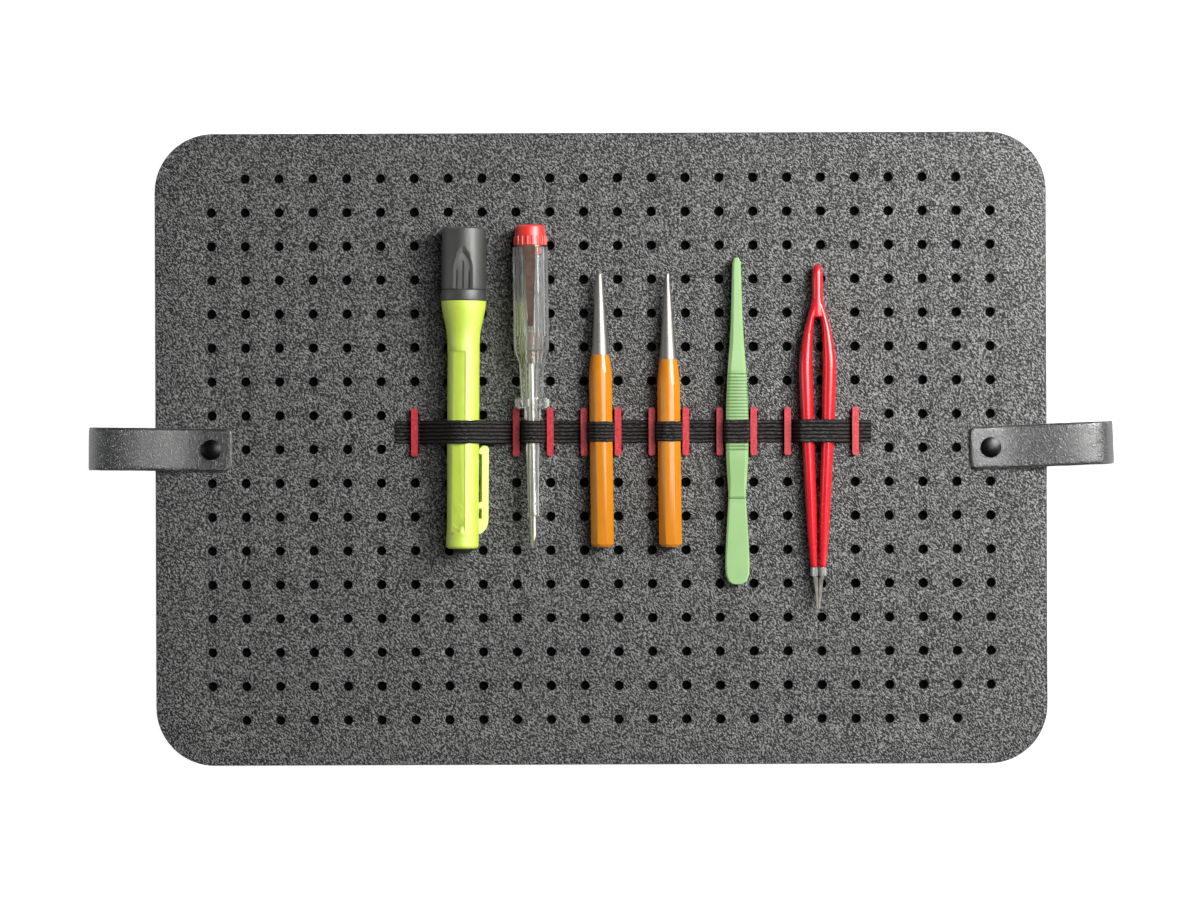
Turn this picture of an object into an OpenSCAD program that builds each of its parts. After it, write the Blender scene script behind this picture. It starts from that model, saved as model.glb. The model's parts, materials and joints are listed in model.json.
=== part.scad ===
// Perforated tool board with two leather pull loops, one elastic band held by
// push-in clips, and six hand tools held under the band.
// X runs along the board, Y up the board, Z out of its front face.
// The origin is the centre of the underside, on the surface the board lies on.

/* [Board] */
// Width of the board
board_w = 395; // [385:1:420]
// Height of the board
board_h = 280; // [275:1:300]
// Thickness of the board
board_t = 3; // [2.5:0.1:4]
// Corner radius of the board
board_r = 26; // [15:1:28]
// Distance between neighbouring holes
pitch = 15; // [15:0.1:15.4]
// Diameter of each hole
hole_d = 4.2; // [4:0.1:4.4]
// Columns of holes
hole_cols = 24; // [24]
// Rows of holes
hole_rows = 17; // [17]

/* [Elastic band and clips] */
// Width of the elastic band
band_w = 10.3; // [9:0.1:10.6]
// Thickness of the elastic band
band_t = 0.8; // [0.6:0.05:0.85]
// Width of a clip's bar
clip_w = 2.9; // [2.4:0.1:2.9]
// Length of a clip's bar
clip_l = 21.2; // [19:0.1:23]
// Height of a clip's bar
clip_h = 2.4; // [1.8:0.1:3]
// Diameter of a clip's leg
leg_d = 2.7; // [2.4:0.1:3]

/* [Leather loops] */
// Width of the leather strap
strap_w = 19; // [15:0.5:22]
// Thickness of the leather
strap_t = 1.6; // [1.2:0.1:1.7]
// Diameter of a rivet's caps
rivet_d = 9.1; // [8:0.1:10]
// How far each loop reaches past its rivet
loop_reach = 54.6; // [50:0.5:60]

/* [Pen torch] */
// Outer diameter of the torch head
head_d = 19.8; // [18:0.1:20]
// Outer diameter of the torch body
torch_d = 14.2; // [13.8:0.1:14.2]

/* [Tools] */
// Width across the flats of a drift punch
punch_af = 10; // [9:0.1:10]
// Width across the flats of the voltage tester's handle
tester_af = 15.4; // [14.5:0.1:15.6]
// Depth of the red tweezers' arms at their widest
red_depth = 8.4; // [7:0.1:9]
// Greatest thickness of the green tweezers over both arms
green_depth = 8.2; // [7:0.1:8.2]

/* [Hidden] */
$fn = 48;
eps = 0.01;

clip_cols = [6, 9, 10, 11, 12, 13, 14, 15, 16, 17, 19];

// Heights, counted from the surface that the board lies on.
rivet_cap_h = 1.65;
play = 0.1;                                    // gap between pieces that move past each other
back_z = rivet_cap_h + strap_t + 1.5 * play;   // back face of the board
top_z = back_z + board_t;                      // front face of the board

// Places along the board.
function col_x(c) = (c - (hole_cols - 1) / 2) * pitch;
band_y = pitch / 2;                            // middle of the band, between two rows
rivet_x = col_x(hole_cols - 1);
torch_x = -60.7;
tester_x = -30.2;
punch_x = [0, 2 * pitch];
green_x = 4 * pitch;
red_x = 95.7;

// How far each tool leans from upright, in degrees.
torch_lean = -0.5;
tester_lean = 0.5;
punch_lean = 0.5;

// Heights of the tools' axes above the board's front face.
torch_z = top_z + head_d / 2 + 2 * play;
tester_z = top_z + tester_af / 2 + 2 * play;
punch_z = top_z + punch_af / 2 + play;
green_z = top_z + green_depth / 2 + 3 * play;
red_z = top_z + red_depth / 2 + 3 * play;

// ---------------------------------------------------------------- helpers

// A smooth curve through the points of p, with n steps between neighbours.
function curve_at(a, b, c, d, t) =
    0.5 * (2 * b + (c - a) * t + (2 * a - 5 * b + 4 * c - d) * t * t
           + (3 * b - a - 3 * c + d) * t * t * t);
function smooth(p, n) = concat(
    [for (i = [0:len(p) - 2]) for (k = [0:n - 1])
        curve_at(p[max(i - 1, 0)], p[i], p[i + 1], p[min(i + 2, len(p) - 1)], k / n)],
    [p[len(p) - 1]]);

function unit(v) = v / norm(v);
function left_of(v) = [-v[1], v[0]];
function reversed(p) = [for (i = [len(p) - 1:-1:0]) p[i]];

// The path p moved sideways by t, to the left of its direction, with mitred corners.
function beside(p, t) = [for (i = [0:len(p) - 1])
    let (a = unit(p[max(i, 1)] - p[max(i, 1) - 1]),
         b = unit(p[min(i + 1, len(p) - 1)] - p[min(i + 1, len(p) - 1) - 1]),
         n = left_of(unit(a + b)))
    p[i] + n * t / (n * left_of(a))];

// A strip of thickness t along the path p in the XZ plane, w wide along Y about y.
module strip(p, t, w, y) {
    translate([0, y + w / 2, 0]) rotate([90, 0, 0])
        linear_extrude(w) polygon(concat(p, reversed(beside(p, t))));
}

// Twice the area of a ring as seen in the XZ plane, with its sign.
function ring_area(r, i = 0) = i == len(r) ? 0
    : let (a = r[i], b = r[(i + 1) % len(r)]) a[0] * b[2] - b[0] * a[2] + ring_area(r, i + 1);

// A solid through rings in planes along Y that all have the same number of points.
module loft(given) {
    inside_out = ring_area(given[1]) * (given[1][0][1] - given[0][0][1]) < 0;
    rings = inside_out ? [for (r = given) reversed(r)] : given;
    n = len(rings[0]);
    m = len(rings);
    polyhedron(
        points = [for (r = rings) each r],
        faces = concat(
            [[for (i = [n - 1:-1:0]) i]],
            [for (j = [0:m - 2]) for (i = [0:n - 1])
                [j * n + i, j * n + (i + 1) % n, (j + 1) * n + (i + 1) % n, (j + 1) * n + i]],
            [[for (i = [0:n - 1]) (m - 1) * n + i]]),
        convexity = 6);
}

// A ring in the XZ plane at height y: a rounded section, rx by rz about [x, z].
ring_sides = 16;
function oval(y, x, z, rx, rz, n = ring_sides) = [for (i = [0:n - 1])
    let (a = -360 * (i + 0.5) / n, c = cos(a), s = sin(a))
    [x + rx * sign(c) * pow(abs(c), 0.8), y, z + rz * sign(s) * pow(abs(s), 0.8)]];
// A rectangular ring in the XZ plane.
function box_ring(y, x0, x1, z0, z1) =
    [[x0, y, z0], [x0, y, z1], [x1, y, z1], [x1, y, z0]];

// Places a tool made about the Z axis along Y, with its axis at [x, z] and its lean.
module tool_frame(x, z, lean) {
    translate([x, band_y, z]) rotate([0, 0, lean]) translate([0, -band_y, 0]) children();
}
module along_y(y) {
    translate([0, y, 0]) rotate([-90, 0, 0]) children();
}
// A turned part: profile points are [radius, place along Y].
module turned(profile) {
    along_y(0) rotate_extrude() polygon(profile);
}
// A round bar or tube from y0 to y1.
module bar(y0, y1, r, bore = 0) {
    turned([[bore, y0], [r, y0], [r, y1], [bore, y1]]);
}
// A close-wound coil, as touching rings of wire from y0 upwards.
module coil(y0, turns, r, wire) {
    for (i = [0:turns - 1])
        turned([for (k = [0:11]) [r + wire / 2 * cos(30 * k), y0 + wire * (i * 0.96 + 0.5) + wire / 2 * sin(30 * k)]]);
}

// A rectangle w by h with corners of radius r.
module rounded_plan(w, h, r) {
    square([w - 2 * r, h], center = true);
    square([w, h - 2 * r], center = true);
    for (sx = [-1, 1]) for (sy = [-1, 1])
        translate([sx * (w / 2 - r), sy * (h / 2 - r)]) circle(r);
}

// ---------------------------------------------------------------- board

function is_corner(c, r) = (c == 0 || c == hole_cols - 1) && (r == 0 || r == hole_rows - 1);

module board() {
    color([0.10, 0.11, 0.11]) translate([0, 0, back_z]) linear_extrude(board_t) difference() {
        rounded_plan(board_w, board_h, board_r);
        for (c = [0:hole_cols - 1]) for (r = [0:hole_rows - 1])
            if (!is_corner(c, r))
                translate([col_x(c), (r - (hole_rows - 1) / 2) * pitch]) circle(d = hole_d, $fn = 24);
    }
}

// ---------------------------------------------------------------- elastic band

// Where the band leaves the board beside the clip in column c, on side s of it.
turn_gap = 0.15;
function foot_x(c, s) = col_x(c) + s * (clip_w / 2 + turn_gap + band_t);

// The underside of the band over a round tool: straight from each foot to the
// tool, and an arc over it.
function over_round(c0, c1, x, z, r) =
    let (f0 = [foot_x(c0, 1), top_z], f1 = [foot_x(c1, -1), top_z],
         m = [x, z],
         a0 = atan2(m[1] - f0[1], m[0] - f0[0]) + asin(r / norm(m - f0)) + 90,
         a1 = atan2(m[1] - f1[1], m[0] - f1[0]) - asin(r / norm(m - f1)) - 90,
         steps = 10)
    concat([f0], [for (k = [0:steps]) let (a = a0 + (a1 - a0) * k / steps) m + r * [cos(a), sin(a)]], [f1]);

// The underside of the band over a tool with flat sides: half widths at the
// side and at the top, and the heights where the side ends and where the top is.
function over_flat(x, side, top, side_z, peak_z) =
    [[x - side, top_z], [x - side, side_z], [x - top, peak_z],
     [x + top, peak_z], [x + side, side_z], [x + side, top_z]];

hug = 0.15;
punch_corner = punch_af / 2 * tan(22.5);
function over_punch(x) = over_flat(x, punch_af / 2 + hug, punch_corner + hug * 0.6,
    punch_z + punch_corner + hug * 0.6, punch_z + punch_af / 2 + hug);

green_half = 5;
red_bow = 8.4;

band_path = concat(
    [[col_x(6) - 8.6, top_z]],
    over_round(6, 9, torch_x, torch_z, torch_d / 2 + 0.4),
    over_round(9, 10, tester_x, tester_z, 3.65 + 0.3),
    over_punch(punch_x[0]),
    over_punch(punch_x[1]),
    over_flat(green_x, green_half + hug, green_half - 0.75, green_z + 3.3, green_z + green_depth / 2 + 2 * hug),
    [[foot_x(17, 1), top_z],
     [red_x - red_bow - 0.9, red_z + 0.8], [red_x - red_bow + 0.9, red_z + red_depth / 2 + 2 * hug],
     [red_x + red_bow - 0.9, red_z + red_depth / 2 + 2 * hug], [red_x + red_bow + 0.9, red_z + 0.8],
     [foot_x(19, -1), top_z]],
    [[col_x(19) + 7.2, top_z]]);

module elastic_band() {
    color([0.09, 0.09, 0.09]) strip(band_path, band_t, band_w, band_y);
}

// ---------------------------------------------------------------- clips

// One push-in clip: a bar over the band and two split legs that snap behind the board.
module band_clip(c) {
    bar_z = top_z + band_t + play / 2;
    corner = 0.9;
    barb = 2.3;
    color([0.72, 0.12, 0.16]) translate([col_x(c), band_y, 0]) {
        translate([0, 0, bar_z]) linear_extrude(clip_h) rounded_plan(clip_w, clip_l, corner);
        for (s = [-1, 1]) translate([0, s * pitch / 2, 0]) difference() {
            union() {
                translate([0, 0, back_z - play]) cylinder(d = leg_d, h = bar_z - back_z + play + eps);
                translate([0, 0, back_z - play - barb])
                    cylinder(d1 = leg_d - 0.5, d2 = hole_d + 0.5, h = barb);
            }
            translate([-leg_d, -0.4, back_z - play - barb - 1]) cube([2 * leg_d, 0.8, barb + 1 + board_t - 0.4]);
        }
    }
}

// ---------------------------------------------------------------- leather loops

// Middle of the leather at the rivet, in front of the board and behind it.
front_layer = top_z + play + strap_t / 2;
back_layer = back_z - play - strap_t / 2;
tail = 9;                                      // from the rivet to the strap's cut ends
nose_z = 5.4;                                  // height of the fold

// The middle line of the loop, from its front end round the fold to its back end.
loop_line = smooth([
    [-tail, front_layer], [0, front_layer], [5, front_layer + 0.05], [10, front_layer + 0.5],
    [16, front_layer + 1.6], [25, front_layer + 3.7], [34, front_layer + 5.4], [42, front_layer + 6],
    [loop_reach - 6, front_layer + 5], [loop_reach - 2.4, front_layer + 1.9],
    [loop_reach - strap_t / 2, nose_z], [loop_reach - 3.4, 1.9],
    [46, strap_t / 2 + 0.15], [36, strap_t / 2 + 0.1], [26, strap_t / 2 + 0.25],
    [16, back_layer - 0.2], [8, back_layer], [0, back_layer], [-tail, back_layer]], 3);

module loop() {
    corner = 2.5;
    reach = loop_reach + 5;
    difference() {
        intersection() {
            strip(beside(loop_line, -strap_t / 2), strap_t, strap_w, 0);
            translate([-tail, -strap_w / 2, -1]) linear_extrude(40) {
                translate([corner, 0]) square([reach + tail, strap_w]);
                translate([0, corner]) square([reach, strap_w - 2 * corner]);
                for (y = [corner, strap_w - corner]) translate([corner, y]) circle(corner);
            }
        }
        translate([0, 0, -1]) cylinder(r = rivet_post_r + 0.05, h = 20);
    }
}
rivet_post_r = 1.7;

strap_turn = [0.8, 2.2];                       // how far each loop is turned at rest
module strap_left() {
    color([0.16, 0.17, 0.17]) translate([-rivet_x, 0, 0]) rotate([0, 0, 180 - strap_turn[0]]) loop();
}
module strap_right() {
    color([0.16, 0.17, 0.17]) translate([rivet_x, 0, 0]) rotate([0, 0, strap_turn[1]]) loop();
}

// A double-cap rivet: the cap's socket takes the end of the post.
cap_z = front_layer + strap_t / 2 + play / 2;
socket = 0.8;
module rivet_cap(s) {
    dome = 0.9;
    ball = (pow(rivet_d / 2, 2) + dome * dome) / (2 * dome);
    color([0.07, 0.07, 0.07]) translate([s * rivet_x, 0, cap_z]) difference() {
        union() {
            cylinder(d = rivet_d, h = rivet_cap_h - dome);
            translate([0, 0, rivet_cap_h - ball]) intersection() {
                sphere(ball, $fn = 96);
                translate([0, 0, ball - dome]) cylinder(d = rivet_d, h = dome + 1);
            }
        }
        translate([0, 0, -eps]) cylinder(r = rivet_post_r, h = socket + eps);
    }
}
module rivet_post(s) {
    color([0.07, 0.07, 0.07]) translate([s * rivet_x, 0, 0]) {
        cylinder(d1 = rivet_d - 1.2, d2 = rivet_d, h = 0.6);
        translate([0, 0, 0.6]) cylinder(d = rivet_d, h = rivet_cap_h - 0.6);
        translate([0, 0, rivet_cap_h - eps]) cylinder(r = rivet_post_r - 0.02, h = cap_z + socket - 0.02 - rivet_cap_h);
    }
}

// ---------------------------------------------------------------- pen torch

torch_r = torch_d / 2;
head_r = head_d / 2;
head_y = [70.1, 97.3];                         // back and front of the head
seal_y = 65.2;                                 // back of the black ring behind the head
flare_y = [46, 65];                            // where the body widens
tail_y = [-43.7, -38];                         // back and front of the tail cap
cell_r = 5.15;
cell_l = 44.2;
bore_r = cell_r + 0.25;
rear_cell_y = -33;
front_cell_y = rear_cell_y + cell_l + 0.1;
module_y = front_cell_y + cell_l + 0.2;

module torch_frame() {
    tool_frame(torch_x, torch_z, torch_lean) children();
}
function flare(t) = torch_r + (head_r + 0.1 - torch_r) * (1 - cos(180 * t)) / 2 * (0.6 + 0.4 * t);
module torch_body() {
    panel_y = [-34.5, 43];
    panel_half = 2.8;
    relief = 0.25;                             // how far the relieved side and the panel are sunk
    panel_z = sqrt(torch_r * torch_r - panel_half * panel_half) - relief;
    color([0.72, 0.86, 0.13]) torch_frame() difference() {
        turned(concat(
            [[bore_r, tail_y[1]], [torch_r, tail_y[1]], [torch_r, flare_y[0]]],
            [for (k = [1:7]) [flare(k / 7), flare_y[0] + (flare_y[1] - flare_y[0]) * k / 7]],
            [[bore_r, flare_y[1]]]));
        // The barrel is relieved on one side, which leaves a ridge along the front.
        intersection() {
            bar(panel_y[0] - 2, panel_y[1], torch_r + 1, torch_r - relief);
            translate([-20, panel_y[0] - 2, -1]) cube([21.3, 100, 20]);
        }
        // The flat panel beside the ridge, with a small raised dot near its round end.
        rotate([0, -13, 0]) translate([0, 0, panel_z]) difference() {
            linear_extrude(3) {
                translate([0, panel_y[0] + panel_half]) circle(panel_half);
                translate([-panel_half, panel_y[0] + panel_half])
                    square([2 * panel_half, panel_y[1] - panel_y[0] - panel_half]);
            }
            translate([0, panel_y[0] + 8.5, -1]) cylinder(r = 1.8, h = 1.3);
        }
    }
}
module torch_pocket_clip() {
    // A flat spring arm beside the body, joined to a foot near the tail.
    reach = 4.9;
    thick = 2;
    gap = 1.7;
    clip_y = [-37.5, 1.6];
    foot_y = -24;                              // top of the foot
    bend_y = -31;                              // where the foot starts to curve in
    color([0.72, 0.86, 0.13]) torch_frame() difference() {
        rotate([0, 25, 0]) translate([0, 0, -thick / 2]) linear_extrude(thick) difference() {
            polygon(concat(
                [[torch_r - 0.5, clip_y[0]], [torch_r - 0.5, foot_y], [torch_r + gap, foot_y + 1]],
                [[torch_r + gap, clip_y[1] - 4], [torch_r + 0.35, clip_y[1] - 3.5],
                 [torch_r + 0.35, clip_y[1] - gap], [torch_r + gap, clip_y[1]]],
                [for (k = [0:4]) [torch_r + reach - gap + gap * sin(22.5 * k), clip_y[1] - gap + gap * cos(22.5 * k)]],
                [for (k = [0:6]) [torch_r - 0.5 + (reach + 0.5) * cos(15 * k), bend_y + (clip_y[0] - bend_y) * sin(15 * k)]]));
            translate([torch_r + 0.3, bend_y + 0.4]) square([gap - 0.3, 4.4]);
        }
        bar(clip_y[0] - 1, clip_y[1] + 1, torch_r + 0.02);
    }
}
module torch_seal_ring() {
    color([0.17, 0.18, 0.18]) torch_frame()
        turned([[bore_r + 2.2, seal_y], [head_r, seal_y], [head_r + 0.1, seal_y + 0.5],
                [head_r + 0.1, head_y[0] - 0.6], [head_r - 0.2, head_y[0] - 0.1], [bore_r + 2.2, head_y[0] - 0.1]]);
}
lens_y = 94;
seat_y = 89.2;                                 // where the head's bore widens for the reflector
// A pointed arch, w to each side, from foot to spring in height and closing at peak.
module arch(w, foot, spring, peak) {
    rise = peak - spring;
    c = (rise * rise - w * w) / (2 * w);
    sweep = acos(c / (w + c));
    half = [for (k = [0:6]) let (a = sweep * k / 6) [(w + c) * cos(a) - c, spring + (w + c) * sin(a)]];
    polygon(concat([[-w, foot], [w, foot]], half, reversed([for (p = half) if (p[0] > eps) [-p[0], p[1]]])));
}
module torch_head() {
    floor_z = 8.1;                             // the flat floor of the arched recess
    slope = 0.7;                               // how much narrower it gets from one step to the next
    slot_z = 7.5;
    color([0.17, 0.18, 0.18]) torch_frame() difference() {
        turned([
            [7, head_y[0]], [head_r - 0.1, head_y[0]], [head_r, head_y[0] + 0.5], [head_r - 0.2, head_y[1] - 0.8],
            [head_r - 0.9, head_y[1]], [7.8, head_y[1]], [7.8, lens_y + 1.6], [8.4, lens_y + 1.6],
            [8.4, seat_y], [7, seat_y]]);
        for (k = [0:2]) translate([0, 0, floor_z + (2 - k) * 0.6 * (k < 2 ? 1 : 0)]) linear_extrude(4)
            arch(5.1 - slope * k, head_y[0] - 1, 78.5, 88.6 - slope * k * 1.4);
        translate([0, 0, slot_z]) linear_extrude(4) for (slot = [[-2.9, 78.5], [-0.2, 82.3], [2.5, 78.2]])
            translate([slot[0] - 0.45, head_y[0] - 1]) square([0.9, slot[1] - head_y[0] + 1]);
    }
}
module torch_lens() {
    color([0.9, 0.95, 1, 0.4]) torch_frame() bar(lens_y, lens_y + 1.5, 8.35);
}
module torch_reflector() {
    color([0.85, 0.85, 0.87]) torch_frame() turned([
        [2.6, lens_y - 12], [3.4, lens_y - 12], [5.6, lens_y - 7.9], [7.2, lens_y - 4], [8.2, lens_y - 0.8],
        [8.2, lens_y - 0.1], [7.7, lens_y - 0.1], [6.6, lens_y - 4], [5, lens_y - 7.9]]);
}
module torch_led_module() {
    color([0.85, 0.85, 0.7]) torch_frame() {
        bar(module_y, seal_y - 1, bore_r - 0.1);
        bar(seal_y - 1 - eps, lens_y - 12.2, 4.6);
        bar(lens_y - 12.2 - eps, lens_y - 10.5, 2);
    }
}
module torch_cell(y) {
    torch_frame() {
        bar(y, y + cell_l - 1, cell_r);
        bar(y + cell_l - 1 - eps, y + cell_l, 1.9);
    }
}
module torch_battery_front() { color([0.55, 0.56, 0.58]) torch_cell(front_cell_y); }
module torch_battery_rear() { color([0.55, 0.56, 0.58]) torch_cell(rear_cell_y); }
module torch_contact_spring() {
    color([0.75, 0.75, 0.76]) torch_frame() coil(-37.2, 5, 3.2, 0.8);
}
button_r = 4.4;
module torch_tail_cap() {
    color([0.72, 0.86, 0.13]) torch_frame() turned([
        [bore_r, tail_y[1] - 0.05], [torch_r + 0.05, tail_y[1] - 0.05], [torch_r + 0.05, tail_y[0] + 1.2],
        [torch_r - 0.3, tail_y[0] + 0.35], [torch_r - 1.1, tail_y[0]], [button_r + 0.15, tail_y[0]],
        [button_r + 0.15, tail_y[0] + 2], [bore_r, tail_y[0] + 2]]);
}
module torch_button() {
    y = tail_y[0];
    color([0.06, 0.06, 0.06]) torch_frame() turned([
        [0, y - 2.3], [2.4, y - 2.2], [3.8, y - 1.6], [button_r, y - 0.6], [button_r, y + 2.1],
        [bore_r - 0.15, y + 2.1], [bore_r - 0.15, y + 3.1], [0, y + 3.1]]);
}

// ---------------------------------------------------------------- voltage tester

tester_r = tester_af / 2;
handle_y = [13.4, 88.7];                       // bottom of the collar, top of the handle
taper_y = [38, 44];                            // where the handle narrows
guard_y = [17.9, 22.5];
guard_r = 6.6;
boss = 2.7;                                    // width of the guard's square bosses
cap_bore = 4.6;                                // the chamber under the cap
resistor_bore = 3.4;                           // the chamber below it
chamber_y = [37.5, 49.5];                      // bottom of each chamber
sleeve_end_y = -29.7;
blade_tip_y = -43.6;
blade_r = 1.5;

module tester_frame() {
    tool_frame(tester_x, tester_z, tester_lean) children();
}
// A bar with eight flats that narrows from half width b at y1 to a at y0.
module eight_sided(y0, y1, a, b) {
    along_y(y0) rotate([0, 0, 22.5]) cylinder(r1 = a / cos(22.5), r2 = b / cos(22.5), h = y1 - y0, $fn = 8);
}
module tester_handle() {
    color([0.85, 0.9, 0.92, 0.5]) tester_frame() difference() {
        union() {
            eight_sided(taper_y[1], handle_y[1], tester_r, tester_r);
            eight_sided(taper_y[0], taper_y[1] + eps, 5.5, tester_r);
            eight_sided(guard_y[1], taper_y[0] + eps, 4.8, 5.5);
            // The guard: a ring with eight square bosses.
            bar(guard_y[0], guard_y[1] + eps, guard_r);
            for (a = [22.5:45:337.5]) rotate([0, a, 0])
                translate([0, guard_y[0] + 0.6, -boss / 2]) cube([guard_r + 1, guard_y[1] - guard_y[0] - 1.2, boss]);
            bar(handle_y[0], guard_y[0] + eps, 3.6);
        }
        bar(chamber_y[1], handle_y[1] + 1, cap_bore);
        bar(chamber_y[0], chamber_y[1] + eps, resistor_bore);
        bar(handle_y[0] - 1, chamber_y[0] + eps, blade_r + 0.05);
    }
}
module tester_cap() {
    ribs = 18;
    color([0.87, 0.10, 0.09]) tester_frame() {
        turned([[0, 86], [cap_bore - 0.15, 86], [cap_bore - 0.15, 89.6], [7.1, 89.6], [6.8, 93.9], [6.5, 97.6],
                [5.8, 98.4], [0, 98.4]]);
        for (i = [0:ribs - 1]) along_y(89.6) rotate([0, 0, 360 * i / ribs])
            translate([6.8, 0, 0]) cylinder(r = 0.6, h = 3.9, $fn = 16);
    }
}
module tester_pocket_clip() {
    clip_top = tester_r + 0.15;
    color([0.45, 0.38, 0.33]) tester_frame() {
        // Spring strip along the flat that faces out.
        translate([0, 0, clip_top]) linear_extrude(0.6)
            polygon([[-2.35, 89.4], [2.35, 89.4], [2.2, 80], [1.45, 60], [1.2, 53.7], [-1.2, 53.7], [-1.45, 60], [-2.2, 80]]);
        // Washer held between the handle and the cap.
        bar(handle_y[1] + 0.1, 89.4, tester_r - 0.4, cap_bore + 0.2);
        translate([-2.35, handle_y[1] + 0.1, tester_r - 1.2]) cube([4.7, 89.3 - handle_y[1], 1.95]);
        // The bent end that presses on the handle.
        translate([-1.2, 53.7, tester_r + 0.05]) cube([2.4, 1.4, 0.2]);
    }
}
module tester_blade() {
    color([0.8, 0.78, 0.74]) tester_frame() {
        bar(sleeve_end_y - 6, chamber_y[0] - 0.1, blade_r);
        intersection() {
            turned([[0, blade_tip_y], [1.3, blade_tip_y], [1.35, blade_tip_y + 4], [blade_r, sleeve_end_y - 6 + eps],
                    [0, sleeve_end_y - 6 + eps]]);
            // The ground flats of the driver tip.
            rotate([0, 60, 0]) translate([-3, 0, 0]) rotate([90, 0, 90]) linear_extrude(6)
                polygon([[blade_tip_y, -0.3], [blade_tip_y, 0.3], [blade_tip_y + 8, 1.8], [blade_tip_y + 8, -1.8]]);
        }
    }
}
module tester_sleeve() {
    color([0.9, 0.92, 0.9, 0.5]) tester_frame() turned([
        [blade_r + 0.05, sleeve_end_y], [2.75, sleeve_end_y], [2.3, sleeve_end_y + 0.9], [2.9, 2],
        [3.15, handle_y[0] - 0.1], [blade_r + 0.05, handle_y[0] - 0.1]]);
}
module tester_neon_lamp() {
    color([0.95, 0.8, 0.65, 0.6]) tester_frame() turned([
        [0, 54.3], [1.2, 54.4], [2.6, 55.2], [3.3, 56.4], [3.3, 66.6], [2.6, 67.8], [1.2, 68.5], [0, 68.6]]);
}
module tester_resistor() {
    color([0.55, 0.35, 0.2]) tester_frame() {
        bar(40, 51.6, 2.4);
        bar(chamber_y[0], 40 + eps, 1);
        bar(51.6 - eps, 54.1, 1);
    }
}
module tester_spring() {
    color([0.8, 0.78, 0.72]) tester_frame() coil(68.8, 17, 3.5, 1);
}

// ---------------------------------------------------------------- drift punches

// One forged octagonal punch with a turned point. The cone below the shoulder cuts
// the flats off in arches that peak at arch_y.
module punch(i, tip_r, shoulder_y, arch_y) {
    butt_y = -43.4;
    tip_y = 77.2;
    across = punch_af / cos(22.5);
    clear_r = across / 2 + 0.4;                // clears the octagon's corners
    slope = (punch_af / 2 - 4) / (shoulder_y - arch_y);
    color([0.93, 0.52, 0.10]) tool_frame(punch_x[i], punch_z, punch_lean) {
        intersection() {
            along_y(butt_y) rotate([0, 0, 22.5]) cylinder(d = across, h = shoulder_y - butt_y + 4, $fn = 8);
            turned([[0, butt_y], [punch_af / 2 - 0.9, butt_y], [clear_r, butt_y + 2],
                    [clear_r, shoulder_y - (clear_r - 4) / slope], [4, shoulder_y], [0, shoulder_y]]);
        }
        turned([[0, shoulder_y - eps], [3.9, shoulder_y - eps], [tip_r, tip_y - 0.2], [tip_r - 0.2, tip_y], [0, tip_y]]);
    }
}
module punch_left() { punch(0, 1.5, 41.4, 35); }
module punch_right() { punch(1, 1.0, 39.4, 30.3); }

// ---------------------------------------------------------------- green tweezers

// Half widths [y, half width] of both arms, from the joined end to the tip.
green_plan = [[-60, 2.4], [-58.8, 4.1], [-56, 5.1], [-51, 5.4], [-42, 5.0], [-33, 4.5], [-24, 3.95],
              [-20, 3.85], [-12, 4.4], [-4, 4.85], [6, 5], [16, 4.9], [30, 4.3], [36, 3.95], [43, 3.35],
              [56, 2.55], [72, 2.1], [82, 1.8], [84, 0.9]];
// Height of an arm's outer face from the middle plane.
green_rise = [[-60, 1.3], [-24, 1.3], [-20, 1.5], [-10, 3.0], [0, 3.9], [8, 4.1], [20, 4.05], [35, 3.9],
              [50, 3.6], [70, 3.1], [84, 2.7]];
green_thick = 1.25;
weld_y = -22;                                  // where the arms part

// A ring of a flat bar about the middle line, w to each side, from z0 to z1. Its upper edges
// are cut off by b1 in height and its lower ones by b0, and by 1.4 times as much in width.
function bar_ring(y, w, z0, z1, b0, b1) = [
    [-w, y, z0 + b0], [-w, y, z1 - b1], [-w + 1.4 * b1, y, z1], [w - 1.4 * b1, y, z1],
    [w, y, z1 - b1], [w, y, z0 + b0], [w - 1.4 * b0, y, z0], [-w + 1.4 * b0, y, z0]];
function green_outer(y) = lookup(y, green_rise) * green_depth / 8.2;
function green_top(y) = green_outer(y) + lookup(y, [[-22, 0.1], [-21.2, 0.5], [-14, 0.3], [0, 0]]);
function green_inner(y) = max(0.03, green_outer(y) - green_thick);
function green_bevel(y) = min(1, lookup(y, green_plan) / 3, green_outer(y) * 0.4);
green_stations = concat([-60, -59.4, -58.8, -57.5], [for (y = [-56:4:-24]) y], [weld_y - 0.3, weld_y, weld_y + 0.8, -20],
    [for (y = [-16:4:80]) y], [82, 83.2, 84]);
module green_frame() {
    color([0.50, 0.72, 0.36]) translate([green_x, 0, green_z]) children();
}
module green_tweezers_lower_arm() {
    // The lower arm, and the joined end of both arms.
    green_frame() loft([for (y = green_stations)
        let (w = lookup(y, green_plan), out = green_outer(y), b = green_bevel(y))
        y < weld_y ? bar_ring(y, w, -out, out, b, b) : bar_ring(y, w, -out, -green_inner(y), b, 0.02)]);
}
rib_pitch = 1.45;
rib_depth = 0.4;
module green_tweezers_upper_arm() {
    green_frame() difference() {
        loft([for (y = green_stations) if (y >= weld_y)
            bar_ring(y, lookup(y, green_plan), green_inner(y), green_top(y), 0.02, green_bevel(y))]);
        // Grip grooves across the outer face.
        for (y = [-1:rib_pitch:33]) translate([-6, y, green_outer(y) - rib_depth]) cube([12, rib_pitch / 2, 1]);
    }
}

// ---------------------------------------------------------------- red tweezers

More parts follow.
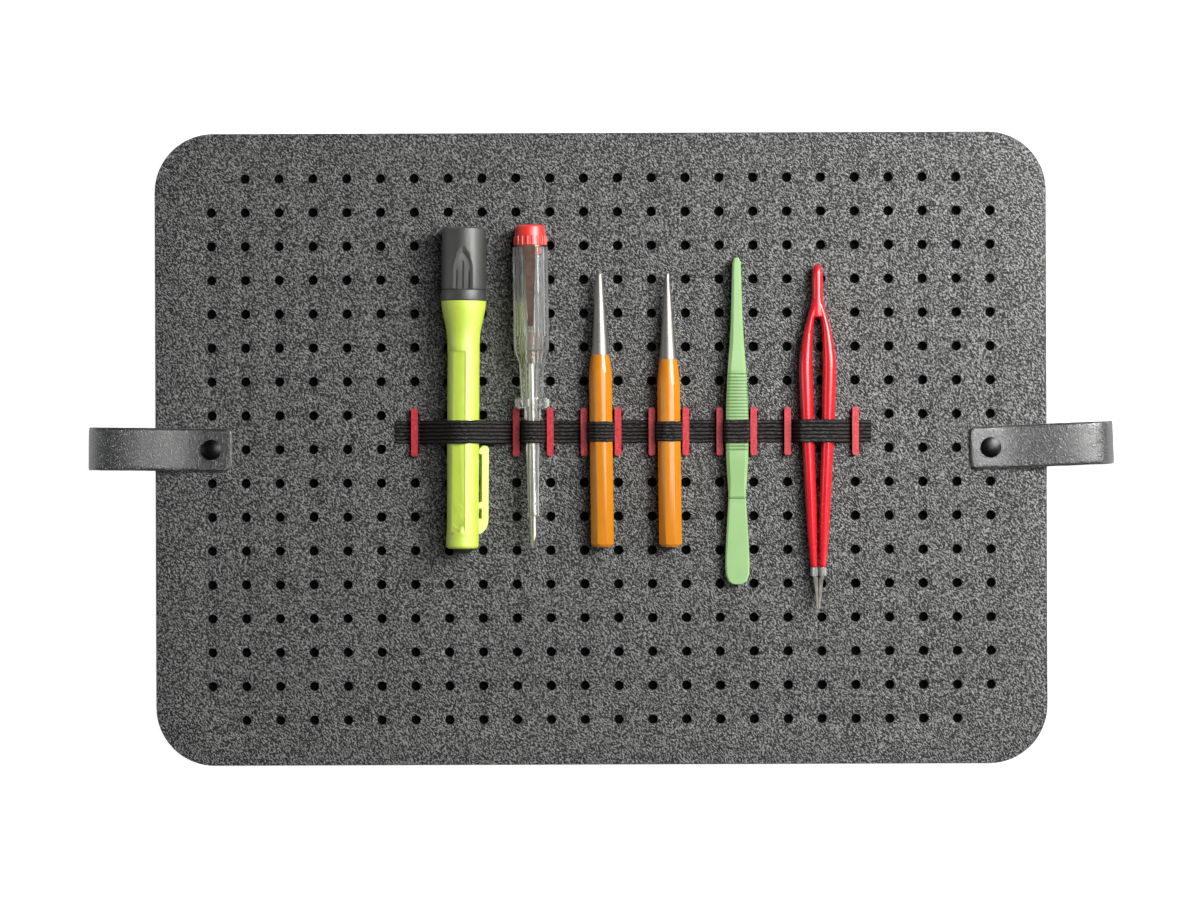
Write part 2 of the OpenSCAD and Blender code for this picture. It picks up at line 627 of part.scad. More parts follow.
// Arms: [y, distance of the arm's middle from the centre line, half width, half depth].
red_arm = [[50, 4.25, 2.25, 3.6], [43, 4.9, 2.75, 3.85], [36, 5.25, 3.05, 4.1], [27, 5.05, 3.1, 4.2],
           [19, 4.8, 3.0, 4.2], [7, 4.45, 2.85, 4.0], [-4, 4.0, 2.7, 3.8], [-16, 3.5, 2.6, 3.5],
           [-28, 3.0, 2.4, 3.1], [-40, 2.55, 2.1, 2.7], [-52.6, 1.95, 1.55, 2.2]];
arm_line = smooth(red_arm, 2);
red_cut = 0.3;                                 // gap between the neck and each grip
collar_y = [-56.4, -52.8];
collar_x = 1.9;
tips_y = -71;

function mirrored(ring, s) = [for (p = ring) [s * p[0], p[1], p[2]]];
module red_frame() {
    translate([red_x, 0, red_z]) children();
}

// The steel blade inside a grip: its half section grows by gap for the grip's channel.
blade_half = [0.6, 1.9];
blade_top_y = 49;
function blade_ring(y, gap) =
    let (x = lookup(y, [for (a = reversed(red_arm)) [a[0], a[1]]]))
    box_ring(y, x - blade_half[0] - gap, x + blade_half[0] + gap, -blade_half[1] - gap, blade_half[1] + gap);
module red_blade(s) {
    color([0.80, 0.77, 0.70]) red_frame() loft(concat(
        [for (y = [blade_top_y, 36, 19, 0, -20, -40, -52.6, collar_y[0] - 0.05]) mirrored(blade_ring(y, 0), s)],
        // The bare point.
        [mirrored(box_ring(collar_y[0] - 1.1, 0.3, 2.2, -1.6, 1.6), s),
         mirrored(box_ring(tips_y, 0.2, 0.55, -0.25, 0.25), s)]));
}
module red_grip(s) {
    color([0.85, 0.07, 0.10]) red_frame() difference() {
        loft([for (a = arm_line) mirrored(oval(min(a[0], 50 - red_cut), a[1], 0, a[2], a[3]), s)]);
        loft([for (y = [blade_top_y + 0.3, 36, 19, 0, -20, -40, -52.6, -54])
            mirrored(blade_ring(y, 0.03), s)]);
    }
}
module red_collar(s) {
    color([0.9, 0.93, 0.93, 0.5]) red_frame() difference() {
        loft([for (y = collar_y) mirrored(oval(y, collar_x, 0, 1.6, 2.5), s)]);
        loft([for (y = [collar_y[0] - 1, collar_y[1] + 1])
            mirrored(box_ring(y, collar_x - 0.85, collar_x + 0.85, -1.96, 1.96), s)]);
    }
}
// The joined end, which splits into a stub for each arm.
neck_plan = [[81, 0.9], [80, 1.7], [78, 2.3], [74, 2.6], [68, 2.5], [64, 2.9], [60, 3.9], [57, 4.5]];
stub = [[63, 1.2, 1.7, 3.4], [60, 2.1, 1.8, 3.45], [57, 2.95, 1.75, 3.5], [53.5, 3.7, 1.95, 3.55], [50, 4.25, 2.25, 3.6]];
module red_tweezers_neck() {
    color([0.85, 0.07, 0.10]) red_frame() union() {
        loft([for (p = smooth(neck_plan, 2)) oval(p[0], 0, 0, p[1], min(3.5, p[1] + 1.1))]);
        for (s = [-1, 1]) loft([for (p = smooth(stub, 2)) mirrored(oval(p[0], p[1], 0, p[2], p[3]), s)]);
    }
}
module red_tweezers_grip_left() { red_grip(-1); }
module red_tweezers_grip_right() { red_grip(1); }
module red_tweezers_blade_left() { red_blade(-1); }
module red_tweezers_blade_right() { red_blade(1); }
module red_tweezers_collar_left() { red_collar(-1); }
module red_tweezers_collar_right() { red_collar(1); }

// ---------------------------------------------------------------- nodes

board();
elastic_band();
for (i = [1:11]) band_clip(clip_cols[i - 1]);
strap_left();
strap_right();
rivet_cap(-1);  // rivet_cap_left
rivet_cap(1);  // rivet_cap_right
rivet_post(-1);  // rivet_post_left
rivet_post(1);  // rivet_post_right
torch_body();
torch_pocket_clip();
torch_head();
torch_seal_ring();
torch_lens();
torch_reflector();
torch_led_module();
torch_battery_front();
torch_battery_rear();
torch_contact_spring();
torch_tail_cap();
torch_button();
tester_handle();
tester_cap();
tester_pocket_clip();
tester_blade();
tester_sleeve();
tester_neon_lamp();
tester_resistor();
tester_spring();
punch_left();
punch_right();
green_tweezers_lower_arm();
green_tweezers_upper_arm();
red_tweezers_neck();
red_tweezers_grip_left();
red_tweezers_grip_right();
red_tweezers_blade_left();
red_tweezers_blade_right();
red_tweezers_collar_left();
red_tweezers_collar_right();
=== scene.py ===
"""Looks for the perforated tool board: its band, loops, clips and six tools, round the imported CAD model.

Everything is in metres in the CAD frame: X along the board, Y up the board, Z out of its front face.
Lengths in the script are in millimetres and go through MM where a mesh is made.
"""

import json
import math

import bmesh
import bpy
from mathutils import Matrix, Vector, noise

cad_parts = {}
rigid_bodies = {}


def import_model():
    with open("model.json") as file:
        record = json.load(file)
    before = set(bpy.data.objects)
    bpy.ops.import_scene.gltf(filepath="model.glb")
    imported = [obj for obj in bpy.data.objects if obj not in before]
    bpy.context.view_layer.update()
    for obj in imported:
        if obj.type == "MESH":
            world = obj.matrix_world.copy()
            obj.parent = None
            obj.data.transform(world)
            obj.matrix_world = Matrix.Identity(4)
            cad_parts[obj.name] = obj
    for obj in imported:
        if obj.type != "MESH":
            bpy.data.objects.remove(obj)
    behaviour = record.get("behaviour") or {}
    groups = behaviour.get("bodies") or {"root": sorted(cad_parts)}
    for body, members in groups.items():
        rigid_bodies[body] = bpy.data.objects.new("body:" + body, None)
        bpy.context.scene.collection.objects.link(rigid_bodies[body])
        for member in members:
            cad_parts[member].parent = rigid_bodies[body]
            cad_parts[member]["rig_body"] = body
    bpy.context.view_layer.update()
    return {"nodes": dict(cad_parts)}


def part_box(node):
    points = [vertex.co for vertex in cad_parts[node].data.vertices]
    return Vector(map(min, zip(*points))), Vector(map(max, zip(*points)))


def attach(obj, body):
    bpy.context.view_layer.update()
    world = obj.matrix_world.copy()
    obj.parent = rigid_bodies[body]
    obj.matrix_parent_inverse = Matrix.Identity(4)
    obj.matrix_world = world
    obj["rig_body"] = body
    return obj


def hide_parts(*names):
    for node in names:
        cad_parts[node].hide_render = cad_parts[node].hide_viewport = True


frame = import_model()

MM = 0.001

# ---------------------------------------------------------------- sizes, in millimetres


def node_box(node):
    """Lowest and highest corner of a CAD node, in millimetres."""
    lo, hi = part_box(node)
    return Vector(lo) / MM, Vector(hi) / MM


board_lo, board_hi = node_box("board")
BACK_Z, TOP_Z = board_lo.z, board_hi.z
BOARD_R = 26
PITCH = 15
COLS, ROWS = 24, 17
HOLE_R = 2.1
BAND_Y = PITCH / 2
RIVET_X = (COLS - 1) / 2 * PITCH
TORCH_X, TESTER_X, PUNCH_X, GREEN_X, RED_X = -60.7, -30.2, (0, 30), 60, 95.7
HEAD_R, TORCH_R = 9.9, 7.1
PUNCH_AF = 10
TORCH_Z = TOP_Z + HEAD_R + 0.2
TESTER_Z = TOP_Z + 7.9
PUNCH_Z = TOP_Z + PUNCH_AF / 2 + 0.1
GREEN_DEPTH, RED_DEPTH = 8.2, 8.4
GREEN_Z = TOP_Z + GREEN_DEPTH / 2 + 0.3
RED_Z = TOP_Z + RED_DEPTH / 2 + 0.3


def col_x(c):
    return (c - (COLS - 1) / 2) * PITCH


# ---------------------------------------------------------------- materials


class Look:
    """One material: a Principled shader and the nodes that feed it."""

    def __init__(self, name, color, rough=0.5, **sockets):
        self.mat = bpy.data.materials.new(name)
        self.mat.use_nodes = True
        self.tree = self.mat.node_tree
        self.shader = self.tree.nodes["Principled BSDF"]
        self.set("Base Color", (*color, 1.0))
        self.set("Roughness", rough)
        for key, value in sockets.items():
            self.set(key.replace("_", " "), value)
        self.place = self.node("ShaderNodeTexCoord").outputs["Object"]
        self.mat.diffuse_color = (*color, 1.0)

    def set(self, socket, value):
        self.shader.inputs[socket].default_value = value

    def node(self, kind, inputs=(), **settings):
        made = self.tree.nodes.new(kind)
        for key, value in settings.items():
            setattr(made, key, value)
        for key, value in dict(inputs).items():
            if isinstance(value, bpy.types.NodeSocket):
                self.tree.links.new(value, made.inputs[key])
            else:
                made.inputs[key].default_value = value
        return made

    def link(self, output, socket):
        self.tree.links.new(output, self.shader.inputs[socket])

    def stretched(self, scale=(1, 1, 1), turn=0):
        """Object coordinates in millimetres, turned about Z by turn degrees and then scaled."""
        turned = self.node("ShaderNodeMapping", {
            "Vector": self.place, "Rotation": (0, 0, math.radians(turn))})
        return self.node("ShaderNodeMapping", {
            "Vector": turned.outputs["Vector"], "Scale": [s / MM for s in scale]}).outputs["Vector"]

    def noise(self, size, detail=2.0, scale=(1, 1, 1), turn=0, rough=0.5, warp=0.0):
        """Noise with grains about size millimetres across."""
        return self.node("ShaderNodeTexNoise", {
            "Vector": self.stretched(scale, turn), "Scale": 1 / size, "Detail": detail,
            "Roughness": rough, "Distortion": warp}).outputs["Fac"]

    def ramp(self, value, *stops):
        """A colour ramp with stops (position, (r, g, b) or a grey)."""
        made = self.node("ShaderNodeValToRGB", {"Fac": value})
        points = made.color_ramp.elements
        while len(points) < len(stops):
            points.new(0.5)
        for point, (where, shade) in zip(points, stops):
            point.position = where
            point.color = (*shade, 1) if hasattr(shade, "__len__") else (shade, shade, shade, 1)
        return made.outputs["Color"]

    def between(self, value, low, high):
        """value from 0..1 to low..high."""
        return self.node("ShaderNodeMapRange", {
            "Value": value, "To Min": low, "To Max": high}).outputs["Result"]

    def math(self, operation, *values):
        return self.node("ShaderNodeMath", dict(enumerate(values)), operation=operation).outputs[0]

    def mix(self, amount, a, b, blend="MIX"):
        """Colours a and b mixed by amount."""
        made = self.node("ShaderNodeMix", data_type="RGBA", blend_type=blend)
        for index, value in ((0, amount), (6, a), (7, b)):
            if isinstance(value, bpy.types.NodeSocket):
                self.tree.links.new(value, made.inputs[index])
            else:
                made.inputs[index].default_value = (*value, 1) if hasattr(value, "__len__") else value
        return made.outputs[2]

    def bump(self, height, depth):
        """Bump of depth millimetres."""
        made = self.node("ShaderNodeBump", {"Height": height, "Distance": depth * MM})
        self.link(made.outputs["Normal"], "Normal")

    def coordinate(self, axis):
        """One object coordinate, in millimetres."""
        split = self.node("ShaderNodeSeparateXYZ", {"Vector": self.place})
        return self.math("MULTIPLY", split.outputs[axis], 1 / MM)

    def step(self, value, edge, soft=0.1):
        """0 below edge, 1 above it."""
        return self.node("ShaderNodeMapRange", {
            "Value": value, "From Min": edge - soft, "From Max": edge + soft}).outputs["Result"]


SHINE = {"Coat_Weight": 0.8, "Coat_IOR": 1.7, "Coat_Roughness": 0.50}
RIB_PITCH = 1.45                               # the green tweezers' grip grooves


def plain_plastic(name, color, rough, grain=0.35, depth=0.02, **sockets):
    """Moulded plastic: faint mottling, fine surface texture and uneven gloss."""
    look = Look(name, color, rough, **sockets)
    dark = [c * 0.86 for c in color]
    light = [min(1, c * 1.07) for c in color]
    look.link(look.mix(look.noise(9, 4), dark, light), "Base Color")
    look.link(look.between(look.noise(1.6, 3), rough - 0.07, rough + 0.09), "Roughness")
    look.bump(look.noise(grain, 3), depth)
    return look


def metal(name, color, rough, along="Y", depth=0.012, **sockets):
    """Worked steel: fine lines, uneven polish and slight staining."""
    look = Look(name, color, rough, Metallic=1.0, **sockets)
    scale = {"Y": (1, 0.06, 1), "round": (0.15, 1, 0.15)}[along]
    lines = look.noise(0.35, 3, scale=scale)
    dark = [c * 0.72 for c in color]
    stains = look.ramp(look.noise(4, 4), (0.38, 0.0), (0.62, 1.0))
    look.link(look.mix(stains, dark, color), "Base Color")
    look.link(look.between(lines, rough - 0.08, rough + 0.14), "Roughness")
    look.bump(lines, depth)
    return look


def clear_plastic(name, tint, rough=0.04, haze=0.0, edge=0.0):
    """Clear plastic or glass; haze is the share of it that looks milky, and edge is how much milkier its
    edges are made, a painted sheen standing in for the bright reflections along them.
    """
    look = Look(name, tint, rough, IOR=1.49)
    look.set("Transmission Weight", 1.0 - haze)
    if edge:
        # Painted sheen: the surface turns milky white where it faces away from the view.
        edge_sheen_mask = look.node("ShaderNodeLayerWeight", {"Blend": 0.35}).outputs["Facing"]
        look.link(look.between(look.ramp(edge_sheen_mask, (0.25, 0.0), (0.75, 1.0)), 1.0 - haze, 1.0 - haze - edge),
                  "Transmission Weight")
    look.link(look.between(look.noise(2.5, 3), rough * 0.5, rough * 2.2), "Roughness")
    look.bump(look.noise(5, 2), 0.004)
    return look


def grained(look, size, dark, light, depth, gloss):
    """A slanting leather grain whose pattern is real: its ridges are painted pale as painted glints, and
    its duller hollows are painted dark as painted shade.
    """
    ridges = look.noise(size, 0.5, scale=(0.36, 1, 1), turn=48, warp=0.15)
    fine = look.noise(size * 0.42, 2, scale=(0.7, 1, 1), turn=52)
    height = look.ramp(ridges, (0.49, 0.0), (0.56, 0.40), (0.63, 1.0))
    # Painted glints and shade: the ridge colour is far paler and the hollow colour far darker than the
    # material itself.
    look.link(look.mix(height, dark, light), "Base Color")
    look.link(look.math("ADD", look.between(height, *gloss), look.between(fine, -0.08, 0.08)), "Roughness")
    look.bump(look.math("ADD", height, look.math("MULTIPLY", fine, 0.3)), depth)


def board_look():
    """Black moulded board with a leather grain."""
    look = Look("board_grain", (0.03, 0.032, 0.033), 0.45, IOR=1.6, Specular_IOR_Level=0.5)
    # The grain's pale ridges are painted glints and its dark hollows painted shade.
    grained(look, 0.35, (0.002, 0.002, 0.002), (0.330, 0.334, 0.330), 0.28, (0.68, 0.34))
    return look


def elastic_look():
    """Knitted elastic: threads along it, pale painted glints, and painted shade in the grooves where the
    mesh has them.
    """
    look = Look("elastic_knit", (0.012, 0.012, 0.012), 0.75, Specular_IOR_Level=0.15)
    rib = look.node("ShaderNodeAttribute", attribute_name="rib").outputs["Fac"]
    picks = look.noise(0.34, 1.5, scale=(1, 0.16, 1))
    threads = look.noise(0.3, 2, scale=(0.22, 1, 1))
    pale = look.ramp(threads, (0.42, 0.0), (0.62, 1.0))
    shade = look.mix(pale, (0.006, 0.006, 0.007), (0.080, 0.074, 0.070))
    glint = look.ramp(look.noise(0.45, 2, scale=(0.5, 1, 1)), (0.66, 0.0), (0.74, 1.0))
    shown = look.mix(glint, shade, (0.20, 0.15, 0.13))
    # Painted shade: the grooves between the ribs are near black, and the rib tops keep the thread colours.
    unshaded_rib_tops = look.ramp(rib, (0.35, 0.0), (0.95, 1.0))
    look.link(look.mix(unshaded_rib_tops, (0.003, 0.003, 0.003), shown), "Base Color")
    look.bump(look.math("ADD", look.math("MULTIPLY", picks, 0.7), threads), 0.14)
    return look


def leather_look():
    """The straps' faces: a fine grain with a soft shine."""
    look = Look("strap_leather", (0.03, 0.031, 0.033), 0.42, IOR=1.7, Specular_IOR_Level=1.0)
    grained(look, 0.36, (0.003, 0.003, 0.004), (0.040, 0.042, 0.045), 0.09, (0.42, 0.24))
    return look


def raw_edge_look():
    """The straps' cut edges: black flesh with pale fibres."""
    look = Look("strap_raw_edge", (0.2, 0.19, 0.18), 0.9)
    fibres = look.noise(0.42, 3, rough=0.7)
    look.link(look.ramp(fibres, (0.38, (0.06, 0.058, 0.056)), (0.50, (0.34, 0.33, 0.31)),
                        (0.62, (0.80, 0.78, 0.74))), "Base Color")
    look.bump(fibres, 0.22)
    return look


def clip_look():
    """Red clip plastic, mottled with wear."""
    look = plain_plastic("clip_red", (0.54, 0.022, 0.034), 0.34, grain=0.8, depth=0.16)
    worn = look.ramp(look.noise(1.1, 4, rough=0.7), (0.40, 0.0), (0.66, 1.0))
    look.link(look.mix(worn, (0.40, 0.012, 0.024), (0.66, 0.045, 0.058)), "Base Color")
    look.set("Subsurface Weight", 0.08)
    look.set("Subsurface Scale", 1.2 * MM)
    return look


def punch_look(name, shoulder):
    """Orange lacquer that stops at the shoulder; bare worked steel beyond it."""
    look = Look(name, (0.8, 0.33, 0.02), 0.3)
    up = look.coordinate("Y")
    wavy = look.math("ADD", up, look.between(look.noise(1.3, 2), -0.35, 0.35))
    bare = look.step(wavy, shoulder, 0.08)
    chips = look.ramp(look.noise(0.9, 4, rough=0.7), (0.71, 0.0), (0.74, 1.0))
    paint = look.mix(look.noise(5, 4), (0.56, 0.185, 0.006), (0.66, 0.235, 0.010))
    rings = look.noise(0.28, 3, scale=(0.12, 1, 0.12))
    steel = look.mix(rings, (0.20, 0.195, 0.185), (0.46, 0.445, 0.42))
    shown = look.math("MAXIMUM", bare, chips)
    look.link(look.mix(shown, paint, steel), "Base Color")
    look.link(shown, "Metallic")
    worked = look.math("MULTIPLY", bare, look.between(rings, 0.20, 0.36))
    look.link(look.math("ADD", worked, look.between(look.noise(3, 3), 0.18, 0.26)), "Roughness")
    ripples = look.math("MULTIPLY", look.noise(2.2, 3), 0.6)
    look.bump(look.math("ADD", look.math("MULTIPLY", rings, bare), ripples), 0.05)
    look.set("Coat Weight", 0.3)
    look.set("Coat Roughness", 0.12)
    return look


def head_look():
    """Dark grey torch plastic, with painted shade in the slots of the arched recess."""
    look = plain_plastic("torch_grey", (0.040, 0.043, 0.038), 0.50, **SHINE)
    off = look.math("ABSOLUTE", look.math("SUBTRACT", look.coordinate("X"), TORCH_X))
    high = look.coordinate("Z")
    below = look.step(look.math("MULTIPLY", high, -1), -(TORCH_Z + 7.9), 0.08)
    above = look.step(high, TORCH_Z + 7.35, 0.05)
    narrow = look.step(look.math("MULTIPLY", off, -1), -4.4, 0.1)
    short = look.step(look.math("MULTIPLY", look.coordinate("Y"), -1), -83.0, 0.1)
    # Painted shade: near black in a layer 7.35 to 7.9 mm above the axis, within 4.4 mm of it and below Y 83
    # mm, where the slots go down.
    painted_slot_shade = look.math("MULTIPLY", look.math("MULTIPLY", below, above), look.math("MULTIPLY", narrow, short))
    look.link(look.mix(painted_slot_shade, (0.036, 0.039, 0.034), (0.004, 0.004, 0.004)), "Base Color")
    return look


def green_look():
    """Green paint, with painted shade in the grip grooves."""
    look = plain_plastic("green_paint", (0.25, 0.47, 0.135), 0.34, grain=0.6, depth=0.03,
                         Coat_Weight=0.5, Coat_Roughness=0.25)
    up = look.coordinate("Y")
    # Painted shade: a darker green in the grip grooves of the upper face, found by position along the arm.
    phase = look.math("FRACT", look.math("MULTIPLY", look.math("ADD", up, 1.0), 1 / RIB_PITCH))
    below_top = look.step(look.math("MULTIPLY", up, -1), -33.9, 0.05)
    painted_groove_shade = look.math("MULTIPLY", look.step(up, -1.0, 0.05), below_top)
    painted_groove_shade = look.math("MULTIPLY", painted_groove_shade, look.step(look.math("MULTIPLY", phase, -1), -0.5, 0.1))
    painted_groove_shade = look.math("MULTIPLY", painted_groove_shade, look.step(look.coordinate("Z"), GREEN_Z + 2.2, 0.05))
    tones = look.mix(look.noise(9, 4), (0.25, 0.43, 0.170), (0.31, 0.52, 0.215))
    look.link(look.mix(painted_groove_shade, tones, (0.12, 0.25, 0.07)), "Base Color")
    return look


LOOKS = {
    "board": board_look(),
    "elastic": elastic_look(),
    "leather": leather_look(),
    "raw_edge": raw_edge_look(),
    "clip": clip_look(),
    "rivet": metal("rivet_black", (0.035, 0.035, 0.037), 0.28, along="round", depth=0.02),
    "lime": plain_plastic("torch_lime", (0.64, 0.82, 0.060), 0.48, Subsurface_Weight=0.35,
                          Subsurface_Scale=3.0 * MM, Specular_IOR_Level=1.0, **SHINE),
    "grey": head_look(),
    "rubber": plain_plastic("black_rubber", (0.012, 0.013, 0.012), 0.55, grain=0.5, depth=0.04),
    "seal": plain_plastic("seal_ring", (0.032, 0.034, 0.031), 0.45, **SHINE),
    "lens": clear_plastic("torch_lens", (0.97, 0.98, 1.0), 0.02),
    "reflector": metal("reflector_chrome", (0.9, 0.9, 0.92), 0.1, along="round", depth=0.002),
    "led": plain_plastic("led_board", (0.75, 0.72, 0.50), 0.5),
    "cell": metal("cell_jacket", (0.16, 0.17, 0.19), 0.35, along="round"),
    "spring": metal("spring_steel", (0.75, 0.74, 0.72), 0.22),
    "clip_steel": metal("tester_clip_steel", (0.19, 0.125, 0.095), 0.32),
    "clear": clear_plastic("tester_clear", (0.96, 0.98, 0.98), 0.025, haze=0.08, edge=0.75),
    "tester_red": plain_plastic("tester_red", (0.80, 0.022, 0.014), 0.30, **SHINE),
    "steel": metal("bare_steel", (0.80, 0.75, 0.66), 0.34),
    "lamp": clear_plastic("lamp_glass", (0.98, 0.93, 0.86), 0.03, haze=0.15),
    "resistor": plain_plastic("resistor_brown", (0.30, 0.15, 0.07), 0.45),
    "punch_left": punch_look("punch_left_paint", 41.4),
    "punch_right": punch_look("punch_right_paint", 39.4),
    "green": green_look(),
    "red": plain_plastic("red_coating", (0.68, 0.008, 0.018), 0.24, grain=2.0, depth=0.04,
                         Coat_Weight=0.6, Coat_Roughness=0.12),
}


# ---------------------------------------------------------------- meshes


def place_piece(name, mesh, look, body, nodes):
    """A smooth-shaded object on a body, with the look's material, that stands for CAD nodes and hides them.
    """
    mesh.materials.append(look.mat)
    piece = bpy.data.objects.new(name, mesh)
    bpy.context.scene.collection.objects.link(piece)
    mesh.polygons.foreach_set("use_smooth", [True] * len(mesh.polygons))
    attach(piece, body)
    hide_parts(*nodes)
    return piece


def new_piece(name, verts, faces, look, body, nodes, edge_faces=(), edge_look=None):
    """A piece made from vertices in millimetres; edge_faces take edge_look."""
    mesh = bpy.data.meshes.new(name)
    mesh.from_pydata([Vector(v) * MM for v in verts], [], faces)
    mesh.validate()
    bm = bmesh.new()
    bm.from_mesh(mesh)
    bmesh.ops.recalc_face_normals(bm, faces=bm.faces)
    bm.to_mesh(mesh)
    bm.free()
    piece = place_piece(name, mesh, look, body, nodes)
    if edge_look:
        mesh.materials.append(edge_look.mat)
        for index in edge_faces:
            mesh.polygons[index].material_index = 1
    return piece


def rounded(node, look, width, segments=3, angle=30):
    """A CAD node's own shape with its edges rounded over, in place of the node."""
    source = frame["nodes"][node]
    mesh = source.data.copy()
    mesh.name = node + "_finished"
    bm = bmesh.new()
    bm.from_mesh(mesh)
    bmesh.ops.remove_doubles(bm, verts=bm.verts, dist=0.002 * MM)
    bmesh.ops.dissolve_limit(bm, angle_limit=math.radians(0.6), verts=bm.verts, edges=bm.edges)
    bm.to_mesh(mesh)
    bm.free()
    mesh.materials.clear()
    piece = place_piece(node + "_finished", mesh, look, source["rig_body"], [node])
    mesh.set_sharp_from_angle(angle=math.radians(angle))
    if width:
        bevel = piece.modifiers.new("edges", "BEVEL")
        bevel.width = width * MM
        bevel.segments = segments
        bevel.limit_method = "ANGLE"
        bevel.angle_limit = math.radians(angle)
        bevel.use_clamp_overlap = True
        bevel.harden_normals = True


def ring_faces(rings, count):
    """Quads between rings of count points each, with end caps."""
    faces = [
        [j * count + i, j * count + (i + 1) % count, (j + 1) * count + (i + 1) % count, (j + 1) * count + i]
        for j in range(rings - 1) for i in range(count)
    ]
    return faces + [list(range(count))[::-1], [(rings - 1) * count + i for i in range(count)]]


def smooth_curve(points, steps):
    """A smooth curve through points, with steps between neighbours."""
    out = []
    for i in range(len(points) - 1):
        a, b, c, d = (Vector(points[min(max(i + k, 0), len(points) - 1)]) for k in (-1, 0, 1, 2))
        for k in range(steps):
            t = k / steps
            out.append(0.5 * (2 * b + (c - a) * t + (2 * a - 5 * b + 4 * c - d) * t * t
                              + (3 * b - a - 3 * c + d) * t * t * t))
    return out + [Vector(points[-1])]


def spaced(points, gap):
    """The polyline through points, with a point about every gap."""
    out = []
    for a, b in zip(points, points[1:]):
        count = max(1, math.ceil((b - a).length / gap))
        out += [a.lerp(b, k / count) for k in range(count)]
    return out + [points[-1]]


def cut_corners(points, size):
    """The polyline with each corner replaced by a short curve."""
    out = [points[0]]
    for before, here, after in zip(points, points[1:], points[2:]):
        a = here + (before - here).normalized() * min(size, (before - here).length * 0.45)
        b = here + (after - here).normalized() * min(size, (after - here).length * 0.45)
        for k in range(5):
            t = k / 4
            out.append(a * (1 - t) ** 2 + here * 2 * t * (1 - t) + b * t * t)
    return out + [points[-1]]


def sideways(points):
    """The unit normal to the left of a path in the XZ plane, at each point."""
    out = []
    for i in range(len(points)):
        step = points[min(i + 1, len(points) - 1)] - points[max(i - 1, 0)]
        step.normalize()
        out.append(Vector((-step[1], step[0])))
    return out


# ---------------------------------------------------------------- board


def build_board():
    """The plate: rounded outer edge and a softened mouth on every hole."""
    w, h = (board_hi.x - board_lo.x) / 2, (board_hi.y - board_lo.y) / 2
    # Each profile runs from the front face to the back: (step in from the wall, height).
    outer_profile = [(0.55, TOP_Z), (0.22, TOP_Z - 0.08), (0.0, TOP_Z - 0.45), (0.0, BACK_Z + 0.35),
                     (0.3, BACK_Z)]
    hole_profile = [(0.42, TOP_Z), (0.2, TOP_Z - 0.06), (0.05, TOP_Z - 0.2), (0.0, TOP_Z - 0.5),
                    (0.0, BACK_Z + 0.2), (0.2, BACK_Z)]
    corner_steps, hole_steps = 16, 20
    bm = bmesh.new()

    def outline(inset):
        r = BOARD_R - inset
        out = []
        for sx, sy, start in ((1, 1, 0), (-1, 1, 90), (-1, -1, 180), (1, -1, 270)):
            cx, cy = sx * (w - BOARD_R), sy * (h - BOARD_R)
            for k in range(corner_steps + 1):
                a = math.radians(start + 90 * k / corner_steps)
                out.append((cx + r * math.cos(a), cy + r * math.sin(a)))
        return out

    def walls(loops):
        """Quads down a list of loops of points; returns the first and last loop's edges."""
        made = [[bm.verts.new(Vector(p) * MM) for p in loop] for loop in loops]
        n = len(made[0])
        for upper, lower in zip(made, made[1:]):
            for i in range(n):
                bm.faces.new((upper[i], upper[(i + 1) % n], lower[(i + 1) % n], lower[i]))
        return [[bm.edges.get((row[i], row[(i + 1) % n])) for i in range(n)]
                for row in (made[0], made[-1])]

    rims = walls([[(x, y, z) for x, y in outline(inset)] for inset, z in outer_profile])
    top_edges, back_edges = list(rims[0]), list(rims[1])
    for c in range(COLS):
        for r in range(ROWS):
            if c in (0, COLS - 1) and r in (0, ROWS - 1):
                continue
            x, y = col_x(c), (r - (ROWS - 1) / 2) * PITCH
            loops = []
            for grow, z in hole_profile:
                loops.append([(x + (HOLE_R + grow) * math.cos(2 * math.pi * k / hole_steps),
                               y + (HOLE_R + grow) * math.sin(2 * math.pi * k / hole_steps), z)
                              for k in range(hole_steps)])
            rims = walls(loops)
            top_edges += rims[0]
            back_edges += rims[1]
    for edges in (top_edges, back_edges):
        bmesh.ops.triangle_fill(bm, use_beauty=True, use_dissolve=False, edges=edges)
    bmesh.ops.recalc_face_normals(bm, faces=bm.faces)
    mesh = bpy.data.meshes.new("board_plate")
    bm.to_mesh(mesh)
    bm.free()
    place_piece("board_plate", mesh, LOOKS["board"], "board", ["board"])
    mesh.set_sharp_from_angle(angle=math.radians(50))


# ---------------------------------------------------------------- elastic band

BAND_T = 0.8
CLIP_W = 2.9
TURN_GAP = 0.15                                # between a clip and the band as it rises beside it
HUG = 0.15                                     # between the band and a flat tool


def foot_x(c, side):
    """Where the band leaves the board beside the clip in column c."""
    return col_x(c) + side * (CLIP_W / 2 + TURN_GAP + BAND_T)


def over_round(c0, c1, x, z, r):
    """The band's underside over a round tool."""
    f0, f1, m = Vector((foot_x(c0, 1), TOP_Z)), Vector((foot_x(c1, -1), TOP_Z)), Vector((x, z))
    d0, d1 = m - f0, m - f1
    a0 = math.atan2(d0[1], d0[0]) + math.asin(r / d0.length) + math.pi / 2
    a1 = math.atan2(d1[1], d1[0]) - math.asin(r / d1.length) - math.pi / 2
    angles = [a0 + (a1 - a0) * k / 20 for k in range(21)]
    return [f0, *(m + r * Vector((math.cos(a), math.sin(a))) for a in angles), f1]


def over_flat(x, side, top, side_z, peak_z):
    """The band's underside over a tool with flat sides."""
    return [Vector(p) for p in ((x - side, TOP_Z), (x - side, side_z), (x - top, peak_z),
                                (x + top, peak_z), (x + side, side_z), (x + side, TOP_Z))]


